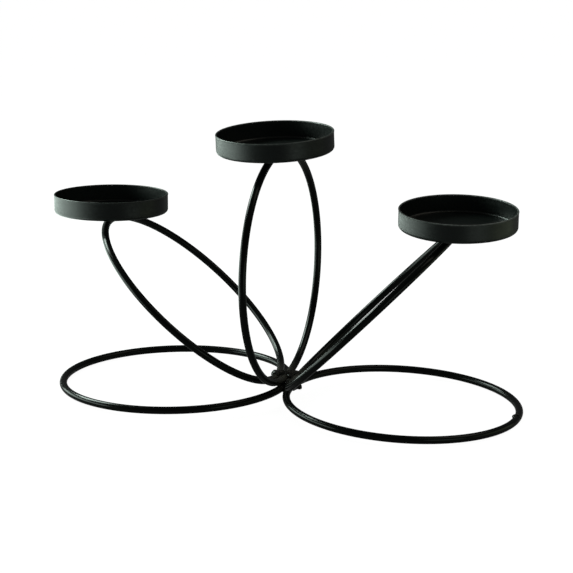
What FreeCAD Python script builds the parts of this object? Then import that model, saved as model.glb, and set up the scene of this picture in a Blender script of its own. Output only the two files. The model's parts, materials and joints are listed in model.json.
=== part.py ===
import FreeCAD, Part
import math
import os
import Sketcher

# Candle stand of five equal wire rings that fan out from one welded hub.
# Two rings lie on the table as the base, three stand up and each carries a round candle pan.
# Millimetres, +Z up. The origin is on the table, under the middle of the stand's length.
# X runs along the stand, and the ring wires all cross the hub along Y.

doc = FreeCAD.newDocument("CandleStand")
sizes = doc.addObject("Spreadsheet::Sheet", "Sizes")

SIZES = [
    # Wire rings
    ("wire_diameter", 5.5),
    ("ring_radius", 85.0),
    ("floor_angle", 1.85),
    ("left_angle", 139.6),
    ("upright_angle", 91.9),
    ("right_angle", 45.9),
    ("left_twist_angle", 4.5),
    ("upright_twist_angle", -1.6),
    ("right_twist_angle", 2.3),
    ("joint_length", 1.6),
    ("joint_rise", 0.35),
    # How the five wires lie against each other at the hub
    ("wire_gap", 0.15),
    ("left_wire_gap", 0.4),
    ("upright_seat_angle", 94.8),
    ("left_seat_angle", 174.2),
    ("right_seat_angle", 65.2),
    # Candle pans
    ("pan_bore_radius", 41.5),
    ("pan_wall", 1.0),
    ("pan_floor", 1.0),
    ("pan_height", 14.0),
    ("pan_corner", 1.4),
    ("pan_lip", 0.6),
    ("left_pan_gap", 0.7),
    ("left_pan_pitch", -1.3),
    ("left_pan_roll", -1.3),
    ("left_pan_shift_x", -4.3),
    ("left_pan_shift_y", 10.0),
    ("middle_pan_gap", 0.1),
    ("middle_pan_pitch", 3.1),
    ("middle_pan_roll", -2.6),
    ("middle_pan_shift_x", -0.2),
    ("middle_pan_shift_y", -6.4),
    ("right_pan_gap", 0.4),
    ("right_pan_pitch", 3.5),
    ("right_pan_roll", 0.3),
    ("right_pan_shift_x", 0.5),
    ("right_pan_shift_y", 2.6),
    # Weld beads
    ("pan_weld_half_width", 4.2),
    ("pan_weld_half_length", 8.0),
    ("pan_weld_depth", 2.2),
    ("hub_weld_less", 0.05),
    ("hub_weld_half_length", 9.0),
    ("hub_weld_off", 0.2),
    ("back_weld_clear", 0.3),
    ("knob_radius", 3.0),
    ("knob_half_length", 3.4),
    ("knob_sink", 0.3),
    ("knob_seat_angle", 104.0),
    ("top_weld_thickness", 2.0),
    ("top_weld_half_width", 2.6),
    ("top_weld_overhang", 2.6),
    ("top_weld_rise", 0.5),
    ("top_weld_left_y", 1.8),
    ("top_weld_right_y", 8.7),
    ("drip_half_length", 3.6),
    ("drip_half_height", 2.3),
    ("drip_half_depth", 2.6),
]


def add_size(row, alias, value):
    sizes.set("A%d" % row, alias)
    sizes.set("B%d" % row, str(value))
    sizes.setAlias("B%d" % row, alias)


for row, (alias, value) in enumerate(SIZES, start=1):
    add_size(row, alias, value)
doc.recompute()


def size(alias):
    return float(sizes.get(alias))


def bind(thing, **properties):
    """Tie properties of an object to expressions over the sheet's names."""
    for name, expression in properties.items():
        thing.setExpression(name, expression)


def polar(angle, length=1.0):
    """A vector in the XZ plane, at an angle in degrees from +X towards +Z."""
    turn = math.radians(angle)
    return FreeCAD.Vector(math.cos(turn), 0, math.sin(turn)) * length


# Places that several pieces share: where each ring's wire crosses the hub.
wire_radius = size("wire_diameter") / 2
ring_radius = size("ring_radius")
wire_pitch = size("wire_diameter") + size("wire_gap")
hub_height = wire_radius + 2 * ring_radius * math.sin(math.radians(size("floor_angle")))

hub_floor_left = FreeCAD.Vector(-wire_pitch / 2, 0, hub_height)
hub_floor_right = FreeCAD.Vector(wire_pitch / 2, 0, hub_height)
hub_upright = hub_floor_left + polar(size("upright_seat_angle"), wire_pitch)
left_pitch = size("wire_diameter") + size("left_wire_gap")
hub_left = hub_upright + polar(size("left_seat_angle"), left_pitch)
hub_right = hub_floor_right + polar(size("right_seat_angle"), wire_pitch)


class RingFrame:
    """Directions of one ring: out from the hub, along its wire at the hub, and square to its plane."""

    def __init__(self, hub, angle, twist=0.0):
        along_y = FreeCAD.Vector(0, 1, 0)
        self.out = polar(angle)
        square = self.out.cross(along_y)
        turn = math.radians(twist)
        self.along = along_y * math.cos(turn) + square * math.sin(turn)
        self.axis = self.out.cross(self.along)
        self.centre = hub + self.out * ring_radius

    def placement(self):
        """A ring's own X points out from the hub, to the far side of the ring."""
        return FreeCAD.Placement(self.centre, FreeCAD.Rotation(self.out, self.along, self.axis, "XYZ"))

    def highest(self, up):
        """The point of the wire's centre line that lies furthest along a direction."""
        in_plane = up - self.axis * self.axis.dot(up)
        return self.centre + in_plane.normalize() * ring_radius


floor_left = RingFrame(hub_floor_left, 180.0 + size("floor_angle"))
floor_right = RingFrame(hub_floor_right, -size("floor_angle"))
tilted_left = RingFrame(hub_left, size("left_angle"), size("left_twist_angle"))
upright = RingFrame(hub_upright, size("upright_angle"), size("upright_twist_angle"))
tilted_right = RingFrame(hub_right, size("right_angle"), size("right_twist_angle"))


class PanFrame:
    """Where a pan sits: its underside touches the top of its ring's wire."""

    def __init__(self, ring, name):
        pitch = math.radians(size(name + "_pitch"))
        roll = math.radians(size(name + "_roll"))
        self.up = FreeCAD.Vector(math.sin(roll), -math.sin(pitch), math.cos(roll) * math.cos(pitch))
        self.up.normalize()
        self.across = FreeCAD.Vector(0, 1, 0).cross(self.up).normalize()
        self.back = self.up.cross(self.across)
        self.rotation = FreeCAD.Rotation(self.across, self.back, self.up, "XYZ")
        self.touch = ring.highest(self.up) + self.up * (wire_radius + size(name + "_gap"))
        shift = self.across * size(name + "_shift_x") + self.back * size(name + "_shift_y")
        self.centre = self.touch + shift


left_pan = PanFrame(tilted_left, "left_pan")
middle_pan = PanFrame(upright, "middle_pan")
right_pan = PanFrame(tilted_right, "right_pan")

# The left pan reaches past the base on that side, so the middle of the length is off the hub.
lip_radius = size("pan_lip")
rim_height = size("pan_height") - lip_radius


def pan_reach(pan):
    """How far a pan's rolled rim reaches to its left and right."""
    rim = pan.centre + pan.up * rim_height
    half = (size("pan_bore_radius") + lip_radius) * pan.across.x + lip_radius
    return rim.x - half, rim.x + half


base_half = ring_radius * math.cos(math.radians(size("floor_angle"))) + wire_radius
left_end = min(pan_reach(left_pan)[0], floor_left.centre.x - base_half)
right_end = max(pan_reach(right_pan)[1], floor_right.centre.x + base_half)
to_middle = FreeCAD.Vector(-(left_end + right_end) / 2, 0, 0)


def move_to_middle(placement):
    return FreeCAD.Placement(placement.Base + to_middle, placement.Rotation)


# Rings. Each is one length of round wire bent to a circle. Four close at the hub, under the welds.
def wire_ring(label, frame):
    ring = doc.addObject("Part::Torus", label)
    bind(ring, Radius1="Sizes.ring_radius", Radius2="Sizes.wire_diameter / 2")
    ring.Placement = move_to_middle(frame.placement())
    return ring


floor_ring_left = wire_ring("floor_ring_left", floor_left)
floor_ring_right = wire_ring("floor_ring_right", floor_right)
tilted_ring_left = wire_ring("tilted_ring_left", tilted_left)
upright_ring = wire_ring("upright_ring", upright)
tilted_ring_right = wire_ring("tilted_ring_right", tilted_right)

# The right base ring's wire ends meet at its far side, with room for a butt weld.
# The weld that closes it stands slightly proud on top and inside.
bind(floor_ring_right, Angle3="360 - Sizes.joint_length / Sizes.ring_radius * 180 / pi")
ring_joint_weld = doc.addObject("Part::Torus", "ring_joint_weld")
bind(ring_joint_weld, Radius1="Sizes.ring_radius - Sizes.joint_rise")
bind(ring_joint_weld, Radius2="Sizes.wire_diameter / 2 + Sizes.joint_rise")
bind(ring_joint_weld, Angle3="Sizes.joint_length / Sizes.ring_radius * 180 / pi")
joint_turn = FreeCAD.Rotation(FreeCAD.Vector(0, 0, 1), -math.degrees(size("joint_length") / ring_radius))
joint_place = floor_right.placement().multiply(FreeCAD.Placement(FreeCAD.Vector(), joint_turn))
joint_place.Base = joint_place.Base + floor_right.axis * size("joint_rise")
ring_joint_weld.Placement = move_to_middle(joint_place)


# Pans. Each is a shallow cup drawn from one disc of sheet, with its edge rolled outwards.
START, END, CENTRE = 1, 2, 3
ORIGIN = -1
BASE, OUTER_CORNER, OUTER_WALL, LIP, INNER_WALL, INNER_CORNER, FLOOR, AXIS = range(8)


def half_section(sketch):
    """Draw half of the pan's section from the axis out, then tie it to the sheet."""
    bore, wall, floor = size("pan_bore_radius"), size("pan_wall"), size("pan_floor")
    height, corner, lip = size("pan_height"), size("pan_corner"), size("pan_lip")
    outside = bore + wall
    outer_corner = corner + wall
    lip_turn = math.acos((wall - lip) / lip)
    lip_foot = height - lip - lip * math.sin(lip_turn)

    def line(x1, y1, x2, y2):
        sketch.addGeometry(Part.LineSegment(FreeCAD.Vector(x1, y1, 0), FreeCAD.Vector(x2, y2, 0)))

    def arc(x, y, radius, start, end):
        circle = Part.Circle(FreeCAD.Vector(x, y, 0), FreeCAD.Vector(0, 0, 1), radius)
        sketch.addGeometry(Part.ArcOfCircle(circle, start, end))

    quarter = math.pi / 2
    line(0, 0, outside - outer_corner, 0)
    arc(outside - outer_corner, outer_corner, outer_corner, -quarter, 0)
    line(outside, outer_corner, outside, lip_foot)
    arc(bore + lip, height - lip, lip, -lip_turn, math.pi)
    line(bore, height - lip, bore, floor + corner)
    arc(bore - corner, floor + corner, corner, -quarter, 0)
    line(bore - corner, floor, 0, floor)
    line(0, floor, 0, 0)

    def hold(*rule):
        sketch.addConstraint(Sketcher.Constraint(*rule))

    hold("Coincident", BASE, START, ORIGIN, START)
    hold("Tangent", BASE, END, OUTER_CORNER, START)
    hold("Tangent", OUTER_CORNER, END, OUTER_WALL, START)
    hold("Coincident", OUTER_WALL, END, LIP, START)
    hold("Tangent", LIP, END, INNER_WALL, START)
    hold("Tangent", INNER_WALL, END, INNER_CORNER, END)
    hold("Tangent", INNER_CORNER, START, FLOOR, START)
    hold("Coincident", FLOOR, END, AXIS, START)
    hold("Coincident", AXIS, END, BASE, START)
    hold("Horizontal", BASE)
    hold("Vertical", OUTER_WALL)
    hold("Vertical", INNER_WALL)
    hold("Horizontal", FLOOR)
    hold("Vertical", AXIS)

    def measure(name, expression, *rule):
        index = sketch.addConstraint(Sketcher.Constraint(*rule))
        sketch.renameConstraint(index, name)
        sketch.setExpression("Constraints." + name, expression)

    measure("bore", "Sizes.pan_bore_radius", "DistanceX", ORIGIN, START, INNER_WALL, START, bore)
    measure("outside", "Sizes.pan_bore_radius + Sizes.pan_wall",
            "DistanceX", ORIGIN, START, OUTER_WALL, START, outside)
    measure("bottom", "Sizes.pan_floor", "DistanceY", ORIGIN, START, FLOOR, START, floor)
    measure("lip_centre", "Sizes.pan_height - Sizes.pan_lip",
            "DistanceY", ORIGIN, START, LIP, CENTRE, height - lip)
    measure("lip_round", "Sizes.pan_lip", "Radius", LIP, lip)
    measure("inner_round", "Sizes.pan_corner", "Radius", INNER_CORNER, corner)
    measure("outer_round", "Sizes.pan_corner + Sizes.pan_wall", "Radius", OUTER_CORNER, outer_corner)


def candle_pan(label, frame):
    body = doc.addObject("PartDesign::Body", label)
    sketch = body.newObject("Sketcher::SketchObject", label + "_section")
    plane = [feature for feature in body.Origin.OriginFeatures if feature.Role == "XZ_Plane"][0]
    sketch.AttachmentSupport = [(plane, "")]
    sketch.MapMode = "FlatFace"
    half_section(sketch)
    turned = body.newObject("PartDesign::Revolution", label + "_turned")
    turned.Profile = sketch
    turned.ReferenceAxis = (sketch, ["V_Axis"])
    turned.Angle = 360
    body.Tip = turned
    body.Placement = move_to_middle(FreeCAD.Placement(frame.centre, frame.rotation))
    return body


candle_pan_left = candle_pan("candle_pan_left", left_pan)
candle_pan_middle = candle_pan("candle_pan_middle", middle_pan)
candle_pan_right = candle_pan("candle_pan_right", right_pan)


# Weld beads. Each is a rounded lump of filler, hollowed by the wires that it joins.
def bead(label, radii, top_angle, place, wires):
    lump = doc.addObject("Part::Ellipsoid", label + "_lump")
    bind(lump, Radius1=radii[0], Radius2=radii[1], Radius3=radii[2])
    lump.Angle2 = top_angle
    lump.Placement = move_to_middle(place)
    shaped = lump
    for number, wire in enumerate(wires, start=1):
        cut = doc.addObject("Part::Cut", "%s_cut_%d" % (label, number))
        cut.Base = shaped
        cut.Tool = wire
        shaped = cut
    shaped.Label = label
    return shaped


HALF, WHOLE = 0, 90


def pan_bead(label, pan, wire):
    radii = ("Sizes.pan_weld_depth", "Sizes.pan_weld_half_width", "Sizes.pan_weld_half_length")
    return bead(label, radii, HALF, FreeCAD.Placement(pan.touch, pan.rotation), [wire])


pan_weld_left = pan_bead("pan_weld_left", left_pan, tilted_ring_left)
pan_weld_middle = pan_bead("pan_weld_middle", middle_pan, upright_ring)
pan_weld_right = pan_bead("pan_weld_right", right_pan, tilted_ring_right)


# Four beads run along the wires, each in the valley between two of them.
def valley(first, second):
    """The middle between two wires, and the way out of their valley, left of first to second."""
    way = (second - first).normalize()
    return (first + second) * 0.5, way, FreeCAD.Vector(-way.z, 0, way.x)


def valley_bead(label, first, second, out_size, across_size, along_size, wires):
    """A bead whose inner side stays off the line between its wires, so that they leave it in one lump."""
    middle, way, outwards = valley(first, second)
    place = middle + outwards * (size(out_size) + size("hub_weld_off"))
    turn = FreeCAD.Rotation(way, FreeCAD.Vector(0, 1, 0), outwards, "ZYX")
    radii = ("Sizes." + out_size, "Sizes." + across_size, "Sizes." + along_size)
    return bead(label, radii, WHOLE, FreeCAD.Placement(place, turn), wires)


def room_beside(first, second, third):
    """Radius of the bead between two wires that just stays clear of a third one."""
    middle, way, outwards = valley(first, second)
    start = middle + outwards * size("hub_weld_off") - third
    keep = wire_radius + size("back_weld_clear")
    return (start.dot(start) - keep ** 2) / (2 * (keep - start.dot(outwards)))


# The top bead crosses the three standing wires, from the left one in front to the right one behind.
crown = FreeCAD.Vector(0, 0, wire_radius + size("top_weld_rise"))
top_left = hub_left + crown + FreeCAD.Vector(0, size("top_weld_left_y"), 0)
top_right = hub_right + crown + FreeCAD.Vector(0, size("top_weld_right_y"), 0)
top_way = (top_right - top_left).normalize()
top_side = FreeCAD.Vector(0, 0, 1).cross(top_way).normalize()
top_turn = FreeCAD.Rotation(top_way, top_side, top_way.cross(top_side), "XYZ")
top_half_length = (top_right - top_left).Length / 2 + size("top_weld_overhang")

add_size(len(SIZES) + 1, "hub_weld_radius", wire_radius - size("hub_weld_less"))
add_size(len(SIZES) + 2, "back_weld_radius", room_beside(hub_floor_left, hub_upright, hub_left))
add_size(len(SIZES) + 3, "top_weld_half_length", top_half_length)
doc.recompute()

HUB_BEAD = ("hub_weld_radius", "hub_weld_radius", "hub_weld_half_length")
BACK_BEAD = ("back_weld_radius", "back_weld_radius", "hub_weld_half_length")
DRIP_BEAD = ("drip_half_length", "drip_half_height", "drip_half_depth")
hub_weld_right = valley_bead("hub_weld_right", hub_floor_right, hub_right, *HUB_BEAD,
                             [floor_ring_right, tilted_ring_right, upright_ring])
hub_weld_floor = valley_bead("hub_weld_floor", hub_floor_right, hub_floor_left, *HUB_BEAD,
                             [floor_ring_right, floor_ring_left])
hub_weld_back = valley_bead("hub_weld_back", hub_floor_left, hub_upright, *BACK_BEAD,
                            [floor_ring_left, upright_ring])
hub_weld_drip = valley_bead("hub_weld_drip", hub_right, hub_floor_right, *DRIP_BEAD,
                            [tilted_ring_right, floor_ring_right])

# The bead starts in a round knob on the left wire.
KNOB = ("Sizes.knob_radius", "Sizes.knob_radius", "Sizes.knob_half_length")
knob_place = hub_left + polar(size("knob_seat_angle"), wire_radius - size("knob_sink"))
hub_weld_left = bead("hub_weld_left", KNOB, WHOLE, FreeCAD.Placement(knob_place, FreeCAD.Rotation()),
                     [tilted_ring_left])
TOP_BEAD = ("Sizes.top_weld_thickness", "Sizes.top_weld_half_length", "Sizes.top_weld_half_width")
hub_weld_top = bead("hub_weld_top", TOP_BEAD, WHOLE,
                    FreeCAD.Placement((top_left + top_right) * 0.5, top_turn),
                    [tilted_ring_left, upright_ring, tilted_ring_right, hub_weld_left])

pieces = [
    floor_ring_left, floor_ring_right, tilted_ring_left, upright_ring, tilted_ring_right, ring_joint_weld,
    candle_pan_left, candle_pan_middle, candle_pan_right,
    pan_weld_left, pan_weld_middle, pan_weld_right,
    hub_weld_left, hub_weld_top, hub_weld_right, hub_weld_floor, hub_weld_back, hub_weld_drip,
]

doc.recompute()
for thing in doc.Objects:
    if "Invalid" in thing.State or "Error" in thing.State:
        raise RuntimeError("%s did not build: %s" % (thing.Name, thing.State))
for piece in pieces:
    if piece.Shape.isNull() or not piece.Shape.isValid():
        raise RuntimeError("%s has no valid shape" % piece.Label)
    if len(piece.Shape.Solids) != 1:
        raise RuntimeError("%s is %d solids, not one" % (piece.Label, len(piece.Shape.Solids)))

os.makedirs("parts", exist_ok=True)
for piece in pieces:
    piece.Shape.exportStep("parts/%s.step" % piece.Label)
    print("%-20s volume %10.2f mm3" % (piece.Label, piece.Shape.Volume))
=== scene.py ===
import bmesh
import bpy
import json
import math
from mathutils import Matrix, Vector, noise
from mathutils.bvhtree import BVHTree


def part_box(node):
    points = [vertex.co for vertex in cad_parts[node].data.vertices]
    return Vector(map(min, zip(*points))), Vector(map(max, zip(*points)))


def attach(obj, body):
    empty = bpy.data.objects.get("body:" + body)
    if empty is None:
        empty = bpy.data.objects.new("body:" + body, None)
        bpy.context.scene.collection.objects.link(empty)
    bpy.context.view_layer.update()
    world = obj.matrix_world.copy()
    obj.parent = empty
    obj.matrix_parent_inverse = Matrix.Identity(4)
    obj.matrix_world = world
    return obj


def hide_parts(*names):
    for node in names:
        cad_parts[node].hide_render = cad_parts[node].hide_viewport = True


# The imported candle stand: five wire rings that fan out from one welded hub, and three candle pans.
# Everything is in metres, in the frame of the solids: X along the stand, Z up, the table at zero.
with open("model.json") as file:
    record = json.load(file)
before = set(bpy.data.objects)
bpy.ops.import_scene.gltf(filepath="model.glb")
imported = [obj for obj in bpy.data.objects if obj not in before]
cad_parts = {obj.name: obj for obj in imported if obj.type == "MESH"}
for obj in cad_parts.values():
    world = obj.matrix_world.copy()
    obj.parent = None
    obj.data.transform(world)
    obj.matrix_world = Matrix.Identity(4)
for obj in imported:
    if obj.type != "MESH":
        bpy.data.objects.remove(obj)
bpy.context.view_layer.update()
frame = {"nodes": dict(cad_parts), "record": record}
nodes = frame["nodes"]
scene = bpy.context.scene

# Wire rings: two lie on the table as the base and three stand up from the hub.
# Each is 5.5 mm mild steel wire bent to a circle on a roller, then butt welded.
# The welded stand is powder coated as one: a thermoset resin sprayed on as dust and baked.
RINGS = ("floor_ring_left", "floor_ring_right", "tilted_ring_left", "upright_ring", "tilted_ring_right")
COAT_IOR = 1.5
PEEL_SIZE = 0.0022
PEEL_DEPTH = 0.0002
SPECK_SIZE = 0.0006
SPECK_DEPTH = 0.0001
PATCH_SIZE = 0.018
NOISE_LOW = 0.3
NOISE_HIGH = 0.7
WIRE_BLACK = "#030504"
WIRE_BLACK_PALER = "#080b09"
WIRE_SMOOTHEST = 0.16
WIRE_ROUGHEST = 0.24
SCUFF_GREY = "#3a3c3b"
SCUFF_HEIGHT = 0.0009
SCUFF_MOST = 0.7
# Painted light on the hub: a warm brown mixed into the coat near HUB_TOP. It is full at the inner distance
# and gone at the outer.
HUB_PAINTED_LIGHT_BROWN = "#504f47"
HUB_PAINTED_LIGHT_INNER = 0.008
HUB_PAINTED_LIGHT_OUTER = 0.030
HUB_PAINTED_LIGHT_MOST = 0.8
HUB_TOP = (0.0, 0.0, 0.022)


def linear(hex_colour):
    """A linear colour with alpha from an sRGB hex value such as #1a1d1b."""
    channels = [int(hex_colour[start:start + 2], 16) / 255 for start in (1, 3, 5)]
    return [c / 12.92 if c <= 0.04045 else ((c + 0.055) / 1.055) ** 2.4 for c in channels] + [1.0]


def add_node(tree, kind, settings=None, links=None):
    """Add a node. Settings go to its inputs or its own properties, links to its inputs."""
    node = tree.nodes.new(kind)
    for name, value in (settings or {}).items():
        if isinstance(name, int) or name in node.inputs:
            node.inputs[name].default_value = value
        else:
            setattr(node, name, value)
    for name, source in (links or {}).items():
        tree.links.new(source, node.inputs[name])
    return node


def bare_material(name):
    """A new material that has no nodes yet, and its node tree."""
    material = bpy.data.materials.new(name)
    material.use_nodes = True
    material.node_tree.nodes.clear()
    return material, material.node_tree


def finish_solid(name, material):
    """Give a solid its finish in place of the plain one that it came with."""
    nodes[name].data.materials.clear()
    nodes[name].data.materials.append(material)


# Satin black powder coat on wire. Baked powder flows to a faint orange peel that breaks up the gloss, and
# the wire is scuffed grey where it rubs on the table. Round the top of the hub the coat is painted paler and
# a little brown in patches. This is a painted warm light from above on the hub's upper faces. The grain of
# the powder is really about 0.1 mm, and is drawn at SPECK_SIZE so that it shows.
wire_coat, tree = bare_material("powder_coat_satin_black_on_wire")
place = add_node(tree, "ShaderNodeTexCoord").outputs["Object"]
peel = add_node(tree, "ShaderNodeTexNoise", {"Scale": 1 / PEEL_SIZE, "Detail": 2.0}, {"Vector": place})
speck = add_node(tree, "ShaderNodeTexNoise", {"Scale": 1 / SPECK_SIZE, "Detail": 1.0}, {"Vector": place})
patch = add_node(tree, "ShaderNodeTexNoise", {"Scale": 1 / PATCH_SIZE, "Detail": 3.0}, {"Vector": place})
tint = add_node(tree, "ShaderNodeMix",
                {"data_type": "RGBA", 6: linear(WIRE_BLACK), 7: linear(WIRE_BLACK_PALER)},
                {0: patch.outputs["Fac"]})
axes = add_node(tree, "ShaderNodeSeparateXYZ", None, {"Vector": place})
low = add_node(tree, "ShaderNodeMapRange",
               {"From Min": SCUFF_HEIGHT, "From Max": 0.0, "To Min": 0.0, "To Max": SCUFF_MOST},
               {"Value": axes.outputs["Z"]})
scuff = add_node(tree, "ShaderNodeMath", {"operation": "MULTIPLY"},
                 {0: low.outputs["Result"], 1: speck.outputs["Fac"]})
scuffed = add_node(tree, "ShaderNodeMix", {"data_type": "RGBA", 7: linear(SCUFF_GREY)},
                   {0: scuff.outputs[0], 6: tint.outputs[2]})
from_hub = add_node(tree, "ShaderNodeVectorMath", {"operation": "DISTANCE", 1: HUB_TOP}, {0: place})
# Painted warm light from above: paler brown in patches, which fades out with the distance from the top of
# the hub.
hub_light_reach = add_node(tree, "ShaderNodeMapRange",
                  {"From Min": HUB_PAINTED_LIGHT_OUTER, "From Max": HUB_PAINTED_LIGHT_INNER, "To Max": HUB_PAINTED_LIGHT_MOST},
                  {"Value": from_hub.outputs["Value"]})
hub_painted_light = add_node(tree, "ShaderNodeMath", {"operation": "MULTIPLY"},
                {0: hub_light_reach.outputs["Result"], 1: peel.outputs["Fac"]})
hub_lit_tint = add_node(tree, "ShaderNodeMix", {"data_type": "RGBA", 7: linear(HUB_PAINTED_LIGHT_BROWN)},
                   {0: hub_painted_light.outputs[0], 6: scuffed.outputs[2]})
rough = add_node(tree, "ShaderNodeMapRange",
                 {"From Min": NOISE_LOW, "From Max": NOISE_HIGH,
                  "To Min": WIRE_SMOOTHEST, "To Max": WIRE_ROUGHEST},
                 {"Value": peel.outputs["Fac"]})
bump = add_node(tree, "ShaderNodeBump", {"Strength": 0.03, "Distance": PEEL_DEPTH},
                {"Height": peel.outputs["Fac"]})
grain = add_node(tree, "ShaderNodeBump", {"Strength": 0.015, "Distance": SPECK_DEPTH},
                 {"Height": speck.outputs["Fac"], "Normal": bump.outputs["Normal"]})
coat = add_node(tree, "ShaderNodeBsdfPrincipled",
                {"IOR": COAT_IOR, "Specular IOR Level": 0.17},
                {"Base Color": hub_lit_tint.outputs[2], "Roughness": rough.outputs["Result"],
                 "Normal": grain.outputs["Normal"]})
add_node(tree, "ShaderNodeOutputMaterial", None, {"Surface": coat.outputs["BSDF"]})

for name in RINGS:
    finish_solid(name, wire_coat)

# The right tilted ring was welded a hair more edge on to the front than the solid is: it keeps its
# line from the hub to the pan and turns about it, so its near half covers the edge of its far half.
RIGHT_TURN = math.radians(-0.25)
RIGHT_LEAN = math.radians(45.9)
RIGHT_HUB = Vector((0.010285, 0.0, 0.013367))
right_line = Vector((math.cos(RIGHT_LEAN), 0.0, math.sin(RIGHT_LEAN)))
turned = bpy.data.meshes.new_from_object(nodes["tilted_ring_right"])
turned.transform(Matrix.Translation(RIGHT_HUB) @ Matrix.Rotation(RIGHT_TURN, 4, right_line)
                 @ Matrix.Translation(-RIGHT_HUB))
edge_on_ring = bpy.data.objects.new("edge_on_ring_right", turned)
scene.collection.objects.link(edge_on_ring)
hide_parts("tilted_ring_right")
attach(edge_on_ring, "root")

# Hub welds: arc welded filler in the valleys between the five wires, and one bead across the tops.
# Each pool of filler freezes in a crescent, so a bead is rippled, and it starts and ends in a crater.
# The beads are left as welded and coated with the wires.
BEAD_MESH = 0.0003
SAME_POINT = 0.000002
SOFTENING_PASSES = 6
SOFTENING_SHARE = 0.5
RIPPLE_PITCH = 0.0014
RIPPLE_HEIGHT = 0.00012
RIPPLE_BEND = 0.008
LUMP_SIZE = 0.0032
LUMP_HEIGHT = 0.0005
WIRE_CLEAR = 0.0008
TABLE_TOP = 0.0
WELD_BLACK = "#0a0b09"
WELD_BROWN = "#201f1a"
WELD_SMOOTHEST = 0.20
WELD_ROUGHEST = 0.38
WELD_GRAIN_DEPTH = 0.0002

# Satin black powder coat over weld metal. It lies thick and thin on the uneven filler, so it is browner
# and duller in spots, and its grain breaks up the light on the ripples.
weld_coat, tree = bare_material("powder_coat_satin_black_on_weld")
place = add_node(tree, "ShaderNodeTexCoord").outputs["Object"]
peel = add_node(tree, "ShaderNodeTexNoise", {"Scale": 1 / PEEL_SIZE, "Detail": 3.0}, {"Vector": place})
speck = add_node(tree, "ShaderNodeTexNoise", {"Scale": 1 / SPECK_SIZE, "Detail": 2.0}, {"Vector": place})
tint = add_node(tree, "ShaderNodeMix",
                {"data_type": "RGBA", 6: linear(WELD_BLACK), 7: linear(WELD_BROWN)},
                {0: peel.outputs["Fac"]})
rough = add_node(tree, "ShaderNodeMapRange",
                 {"From Min": NOISE_LOW, "From Max": NOISE_HIGH,
                  "To Min": WELD_SMOOTHEST, "To Max": WELD_ROUGHEST},
                 {"Value": peel.outputs["Fac"]})
bump = add_node(tree, "ShaderNodeBump", {"Strength": 0.15, "Distance": WELD_GRAIN_DEPTH},
                {"Height": speck.outputs["Fac"]})
coat = add_node(tree, "ShaderNodeBsdfPrincipled",
                {"IOR": COAT_IOR, "Specular IOR Level": 0.3},
                {"Base Color": tint.outputs[2], "Roughness": rough.outputs["Result"],
                 "Normal": bump.outputs["Normal"]})
add_node(tree, "ShaderNodeOutputMaterial", None, {"Surface": coat.outputs["BSDF"]})

wire_surface = bmesh.new()
for name in RINGS:
    wire_surface.from_mesh(nodes[name].data)
wires = BVHTree.FromBMesh(wire_surface)
wire_surface.free()


def weld_bead(name, start, end, lumps=()):
    """A weld solid joined with its lumps of filler, then rippled across the line from start to end."""
    shape = bmesh.new()
    shape.from_mesh(nodes[name].data)
    bmesh.ops.remove_doubles(shape, verts=shape.verts, dist=SAME_POINT)
    for x, y, z, radius in lumps:
        bmesh.ops.create_icosphere(shape, subdivisions=3, radius=radius,
                                   matrix=Matrix.Translation((x, y, z)))
    rough_mesh = bpy.data.meshes.new("bead_of_" + name)
    shape.to_mesh(rough_mesh)
    shape.free()
    piece = bpy.data.objects.new("bead_of_" + name, rough_mesh)
    scene.collection.objects.link(piece)
    skin = piece.modifiers.new("even_skin", "REMESH")
    skin.mode = "VOXEL"
    skin.voxel_size = BEAD_MESH
    soft = piece.modifiers.new("soft_edges", "SMOOTH")
    soft.factor = SOFTENING_SHARE
    soft.iterations = SOFTENING_PASSES
    evaluated = piece.evaluated_get(bpy.context.evaluated_depsgraph_get())
    mesh = bpy.data.meshes.new_from_object(evaluated)
    piece.modifiers.clear()
    piece.data = mesh
    bpy.data.meshes.remove(rough_mesh)
    first = Vector(start)
    along = (Vector(end) - first).normalized()
    moves = []
    for point in mesh.vertices:
        clear = wires.find_nearest(point.co)[3]
        free = min(1.0, clear / WIRE_CLEAR)
        offset = point.co - first
        travel = offset.dot(along)
        aside = (offset - along * travel).length
        phase = (travel + aside * aside / RIPPLE_BEND) / RIPPLE_PITCH
        ripple = RIPPLE_HEIGHT * (abs(math.sin(math.pi * phase)) - 0.5)
        lump = LUMP_HEIGHT * noise.noise(point.co / LUMP_SIZE)
        moves.append(point.normal * (ripple + lump) * free)
    for point, move in zip(mesh.vertices, moves):
        point.co += move
        point.co.z = max(point.co.z, TABLE_TOP)
    mesh.shade_smooth()
    mesh.materials.clear()
    mesh.materials.append(weld_coat)
    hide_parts(name)
    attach(piece, "root")
    return piece


# The beads in the valleys run along the wires, from front to back.
VALLEY_HALF = 0.009
for name, x, z in (("hub_weld_floor", 0.00501, 0.0050),
                   ("hub_weld_back", -0.0003, 0.0107),
                   ("hub_weld_right", 0.0063, 0.0119)):
    weld_bead(name, (x, -VALLEY_HALF, z), (x, VALLEY_HALF, z))

# The bead across the tops of the standing wires was laid from the left, drop by drop.
# A drop is the place of its middle and its radius.
TOP_START = (-0.0038, 0.0018, 0.0173)
TOP_END = (0.0102, 0.0087, 0.0163)
TOP_DROPS = ((-0.0022, 0.0024, 0.0173, 0.0021), (0.0016, 0.0040, 0.0170, 0.0024),
             (0.0056, 0.0056, 0.0163, 0.0025), (0.0092, 0.0080, 0.0164, 0.0023),
             (0.0050, 0.0024, 0.0152, 0.0019), (0.0076, 0.0036, 0.0149, 0.0018))
weld_bead("hub_weld_top", TOP_START, TOP_END, TOP_DROPS)

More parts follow.
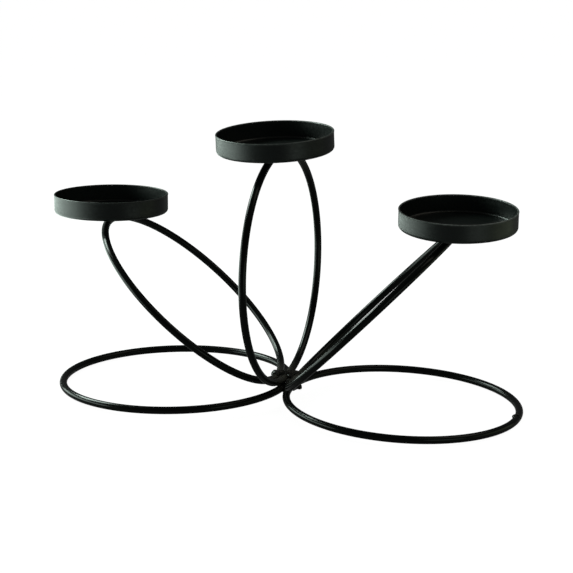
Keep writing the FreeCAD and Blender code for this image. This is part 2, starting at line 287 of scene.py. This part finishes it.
# The run of filler that hangs beside the right wires.
DRIP_START = (0.0100, -0.0030, 0.0075)
DRIP_END = (0.0150, 0.0, 0.0100)
DRIP_DROPS = ((0.0142, -0.0005, 0.0094, 0.0020), (0.0116, -0.0012, 0.0082, 0.0018),
              (0.0102, -0.0025, 0.0076, 0.0016))
weld_bead("hub_weld_drip", DRIP_START, DRIP_END, DRIP_DROPS)

# The butt joint of the right base ring, at its outer end: the filler stands proud inside and on top.
JOINT_START = (0.1775, -0.0016, 0.0031)
JOINT_END = (0.1775, 0.0, 0.0031)
JOINT_DROPS = ((0.1762, -0.0020, 0.0044, 0.0017), (0.1764, -0.0036, 0.0043, 0.0016),
               (0.1767, -0.0052, 0.0042, 0.0013))
weld_bead("ring_joint_weld", JOINT_START, JOINT_END, JOINT_DROPS)

# The knob where the top bead starts: a round blob on the left wire with a shrinkage crater in its front.
KNOB_CENTRE = Vector((-0.0041, -0.0015, 0.0169))
KNOB_RADIUS = 0.0030
CRATER_FACING = Vector((0.15, -0.95, 0.28)).normalized()
CRATER_RADIUS = 0.0019
CRATER_DEPTH = 0.0014
knob = weld_bead("hub_weld_left", KNOB_CENTRE - CRATER_FACING, KNOB_CENTRE, [(*KNOB_CENTRE, KNOB_RADIUS)])
for point in knob.data.vertices:
    offset = point.co - KNOB_CENTRE
    ahead = offset.dot(CRATER_FACING)
    aside = (offset - CRATER_FACING * ahead).length
    if ahead > 0 and aside < CRATER_RADIUS:
        hollow = (1 - (aside / CRATER_RADIUS) ** 2) ** 2
        point.co -= CRATER_FACING * CRATER_DEPTH * hollow

# Candle pans: three shallow cups drawn from 1 mm steel sheet, with the edge rolled outwards.
# Drawing and rolling leave faint lines round the wall and the floor, under the coat.
# The lip's heights are measured from the middle of the wall, where the record has the cup's place.
STREAK_SIZE = 0.0009
STREAK_TURNS = 2.0
STREAK_DEPTH = 0.0001
GLOSS_LOW = 0.7
GLOSS_HIGH = 1.3
PAN_BLACK = "#020706"
PAN_BLACK_PALER = "#06110d"
PAN_SMOOTHEST = 0.34
PAN_ROUGHEST = 0.46
LIP_BELOW = 0.0050
LIP_TOP = 0.0061
# Painted highlight and a little rub on each pan's lip: a paler grey, lightest on the right pan.
LIP_RUB_AND_HIGHLIGHT_GREYS = {"left": "#343936", "middle": "#565c58", "right": "#747a76"}

# Satin black powder coat on sheet. The press lines show through as soft streaks in the gloss. The lip,
# which hands and candles rub, is painted paler in patches. A little of this is the rubbing. The rest
# is a painted highlight along the rim, which is strongest on the right pan and weakest on the left, as the
# light falls.
for name, lip_rub_and_highlight_grey in LIP_RUB_AND_HIGHLIGHT_GREYS.items():
    cup = next(m for m in frame["record"]["mounts"] if m["name"] == "candle_cup_" + name)
    turn = Vector((0, 0, 1)).rotation_difference(Vector(cup["axis"])).to_euler()
    pan_coat, tree = bare_material("powder_coat_satin_black_on_pan_" + name)
    place = add_node(tree, "ShaderNodeTexCoord").outputs["Object"]
    own = add_node(tree, "ShaderNodeMapping",
                   {"vector_type": "TEXTURE", "Location": cup["pos_m"], "Rotation": turn}, {"Vector": place})
    axes = add_node(tree, "ShaderNodeSeparateXYZ", None, {"Vector": own.outputs["Vector"]})
    flat = add_node(tree, "ShaderNodeCombineXYZ", None, {"X": axes.outputs["X"], "Y": axes.outputs["Y"]})
    reach = add_node(tree, "ShaderNodeVectorMath", {"operation": "LENGTH"}, {0: flat.outputs["Vector"]})
    facing = add_node(tree, "ShaderNodeVectorMath", {"operation": "NORMALIZE"}, {0: flat.outputs["Vector"]})
    around = add_node(tree, "ShaderNodeVectorMath", {"operation": "SCALE", "Scale": STREAK_TURNS},
                      {0: facing.outputs["Vector"]})
    rise = add_node(tree, "ShaderNodeMath", {"operation": "DIVIDE", 1: STREAK_SIZE}, {0: axes.outputs["Z"]})
    spread = add_node(tree, "ShaderNodeMath", {"operation": "DIVIDE", 1: STREAK_SIZE},
                      {0: reach.outputs["Value"]})
    climb = add_node(tree, "ShaderNodeCombineXYZ", None, {"Z": rise.outputs[0]})
    lathe = add_node(tree, "ShaderNodeVectorMath", {"operation": "ADD"},
                     {0: around.outputs["Vector"], 1: climb.outputs["Vector"]})
    streak = add_node(tree, "ShaderNodeTexNoise", {"noise_dimensions": "4D", "Scale": 1.0, "Detail": 2.0},
                      {"Vector": lathe.outputs["Vector"], "W": spread.outputs[0]})
    peel = add_node(tree, "ShaderNodeTexNoise", {"Scale": 1 / PEEL_SIZE, "Detail": 2.0}, {"Vector": place})
    patch = add_node(tree, "ShaderNodeTexNoise", {"Scale": 1 / PATCH_SIZE, "Detail": 3.0}, {"Vector": place})
    tint = add_node(tree, "ShaderNodeMix",
                    {"data_type": "RGBA", 6: linear(PAN_BLACK), 7: linear(PAN_BLACK_PALER)},
                    {0: patch.outputs["Fac"]})
    # The lip's painted highlight, with a little real rub, in patches round the top of the rim.
    lip = add_node(tree, "ShaderNodeMapRange", {"From Min": LIP_BELOW, "From Max": LIP_TOP},
                   {"Value": axes.outputs["Z"]})
    rub_and_highlight = add_node(tree, "ShaderNodeMath", {"operation": "MULTIPLY"},
                   {0: lip.outputs["Result"], 1: peel.outputs["Fac"]})
    rubbed_and_lit = add_node(tree, "ShaderNodeMix", {"data_type": "RGBA", 7: linear(lip_rub_and_highlight_grey)},
                      {0: rub_and_highlight.outputs[0], 6: tint.outputs[2]})
    gloss = add_node(tree, "ShaderNodeMath", {"operation": "ADD"},
                     {0: streak.outputs["Fac"], 1: peel.outputs["Fac"]})
    rough = add_node(tree, "ShaderNodeMapRange",
                     {"From Min": GLOSS_LOW, "From Max": GLOSS_HIGH,
                      "To Min": PAN_SMOOTHEST, "To Max": PAN_ROUGHEST},
                     {"Value": gloss.outputs[0]})
    press = add_node(tree, "ShaderNodeBump", {"Strength": 0.08, "Distance": STREAK_DEPTH},
                     {"Height": streak.outputs["Fac"]})
    bump = add_node(tree, "ShaderNodeBump", {"Strength": 0.05, "Distance": PEEL_DEPTH},
                    {"Height": peel.outputs["Fac"], "Normal": press.outputs["Normal"]})
    coat = add_node(tree, "ShaderNodeBsdfPrincipled",
                    {"IOR": COAT_IOR, "Specular IOR Level": 0.42},
                    {"Base Color": rubbed_and_lit.outputs[2], "Roughness": rough.outputs["Result"],
                     "Normal": bump.outputs["Normal"]})
    add_node(tree, "ShaderNodeOutputMaterial", None, {"Surface": coat.outputs["BSDF"]})
    finish_solid("candle_pan_" + name, pan_coat)

# Pan welds: a short bead between each pan's underside and the top of its ring, along the wire.
# They are run in one pass from below and coated with the rest.
for name in ("pan_weld_left", "pan_weld_middle", "pan_weld_right"):
    low_corner, high_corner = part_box(name)
    middle = (low_corner + high_corner) / 2
    weld_bead(name, (middle.x, low_corner.y, middle.z), (middle.x, high_corner.y, middle.z))

# Table: a seamless white sheet, wide enough to fill the picture from any side.
# It stands for the studio's paper, which runs on behind the stand without an edge.
FLOOR_HALF = 6.0
PAPER_WHITE = "#f4f4f2"
PURE_WHITE = "#ffffff"
GLOW_SHARE = 0.88
GLOW_LEVEL = 1.09
MIRROR_LEVEL = 0.06


def rays_that_see(tree):
    """Which rays meet a backdrop: those of the camera, and those that are mirrored or pass through."""
    ray = add_node(tree, "ShaderNodeLightPath")
    mirrored = add_node(tree, "ShaderNodeMath", {"operation": "MAXIMUM"},
                        {0: ray.outputs["Is Glossy Ray"], 1: ray.outputs["Is Transmission Ray"]})
    return ray.outputs["Is Camera Ray"], mirrored.outputs[0]


# Matt white paper. The camera sees it as an even bright white with a faint soft shadow, and the coat
# mirrors it only dimly, as if the studio round the stand were dark, so the black stays deep.
paper, tree = bare_material("matt_white_paper")
camera_ray, mirror_ray = rays_that_see(tree)
dimmed = add_node(tree, "ShaderNodeMath", {"operation": "MULTIPLY", 1: MIRROR_LEVEL}, {0: mirror_ray})
seen = add_node(tree, "ShaderNodeMath", {"operation": "MAXIMUM"}, {0: camera_ray, 1: dimmed.outputs[0]})
lift = add_node(tree, "ShaderNodeMath", {"operation": "MULTIPLY", 1: GLOW_LEVEL}, {0: seen.outputs[0]})
glow = add_node(tree, "ShaderNodeEmission", {"Color": linear(PURE_WHITE)}, {"Strength": lift.outputs[0]})
matt = add_node(tree, "ShaderNodeBsdfDiffuse", {"Color": linear(PAPER_WHITE)})
mixed = add_node(tree, "ShaderNodeMixShader", {0: GLOW_SHARE}, {1: matt.outputs[0], 2: glow.outputs[0]})
add_node(tree, "ShaderNodeOutputMaterial", None, {"Surface": mixed.outputs[0]})
sheet = bpy.data.meshes.new("white_sheet")
corners = [(-FLOOR_HALF, -FLOOR_HALF, TABLE_TOP), (FLOOR_HALF, -FLOOR_HALF, TABLE_TOP),
           (FLOOR_HALF, FLOOR_HALF, TABLE_TOP), (-FLOOR_HALF, FLOOR_HALF, TABLE_TOP)]
sheet.from_pydata(corners, [], [(0, 1, 2, 3)])
sheet.materials.append(paper)
floor = bpy.data.objects.new("white_sheet", sheet)
scene.collection.objects.link(floor)

# Studio light: an even white surround and six lamps behind diffusers. The main light comes low from the
# left, from a panel that lies on the table and a softbox that stands behind it, so the insides of the
# pans stay dark. A strip high at the left draws the bright lines along the wires, and the rest is weak.
SURROUND_LEVEL = 0.4
world = bpy.data.worlds.new("white_studio")
world.use_nodes = True
scene.world = world
tree = world.node_tree
tree.nodes.clear()
camera_ray, mirror_ray = rays_that_see(tree)
lit = add_node(tree, "ShaderNodeMapRange", {"To Min": SURROUND_LEVEL, "To Max": MIRROR_LEVEL},
               {"Value": mirror_ray})
strength = add_node(tree, "ShaderNodeMath", {"operation": "MAXIMUM"},
                    {0: camera_ray, 1: lit.outputs["Result"]})
sky = add_node(tree, "ShaderNodeBackground", {"Color": linear(PURE_WHITE)},
               {"Strength": strength.outputs[0]})
add_node(tree, "ShaderNodeOutputWorld", None, {"Surface": sky.outputs[0]})

# Each lamp's width, height, watts, colour, place and the point that it faces.
LAMPS = {
    "panel_left": (1.0, 1.0, 9.0, "#ebfff5", (-0.75, 0.10, 0.002), (-0.75, 0.10, 1.0)),
    "softbox_left": (1.46, 0.36, 8.0, "#ebfff5", (-1.10, -0.14, 0.18), (0.0, 0.0, 0.18)),
    "card_right": (0.30, 0.12, 0.05, "#ebffd1", (0.40, 0.06, 0.07), (0.13, 0.0, 0.07)),
    "front_right": (0.24, 0.16, 0.11, "#ebfff0", (0.42, -0.26, 0.10), (0.13, 0.0, 0.13)),
    "strip_left_high": (0.40, 0.30, 6.5, "#ebfff5", (-0.64, 0.19, 0.55), (0.0, 0.0, 0.05)),
    "softbox_above": (0.50, 0.50, 0.6, "#fff8e8", (0.42, 0.15, 0.72), (0.08, 0.0, 0.12)),
}
for name, (width, height, watts, colour, spot, aim) in LAMPS.items():
    lamp = bpy.data.lights.new(name, "AREA")
    lamp.shape = "RECTANGLE"
    lamp.color = linear(colour)[:3]
    lamp.size = width
    lamp.size_y = height
    lamp.energy = watts
    softbox = bpy.data.objects.new(name, lamp)
    softbox.location = spot
    softbox.rotation_euler = (Vector(aim) - Vector(spot)).to_track_quat("-Z", "Y").to_euler()
    softbox.visible_camera = False
    scene.collection.objects.link(softbox)

# Camera: a long lens a little to the right of the front and above, as the stand was photographed.
# Its place, turn and lens were fitted to the rings and pans in the photograph.
LENS = 124.33
SENSOR_WIDTH = 36.0
AZIMUTH = math.radians(16.972)
ELEVATION = math.radians(13.796)
ROLL = math.radians(1.142)
DISTANCE = 1.45103
TARGET = Vector((0.002635, 0.0, 0.084228))
back = Vector((math.sin(AZIMUTH) * math.cos(ELEVATION), -math.cos(AZIMUTH) * math.cos(ELEVATION),
               math.sin(ELEVATION)))
level = Vector((math.cos(AZIMUTH), math.sin(AZIMUTH), 0))
upright = back.cross(level)
right = level * math.cos(ROLL) + upright * math.sin(ROLL)
up = back.cross(right)
lens = bpy.data.cameras.new("camera")
lens.lens = LENS
lens.sensor_width = SENSOR_WIDTH
camera = bpy.data.objects.new("camera", lens)
camera.matrix_world = Matrix((
    (right.x, up.x, back.x, TARGET.x + back.x * DISTANCE),
    (right.y, up.y, back.y, TARGET.y + back.y * DISTANCE),
    (right.z, up.z, back.z, TARGET.z + back.z * DISTANCE),
    (0, 0, 0, 1),
))
scene.collection.objects.link(camera)
scene.camera = camera
scene.view_settings.view_transform = "Standard"
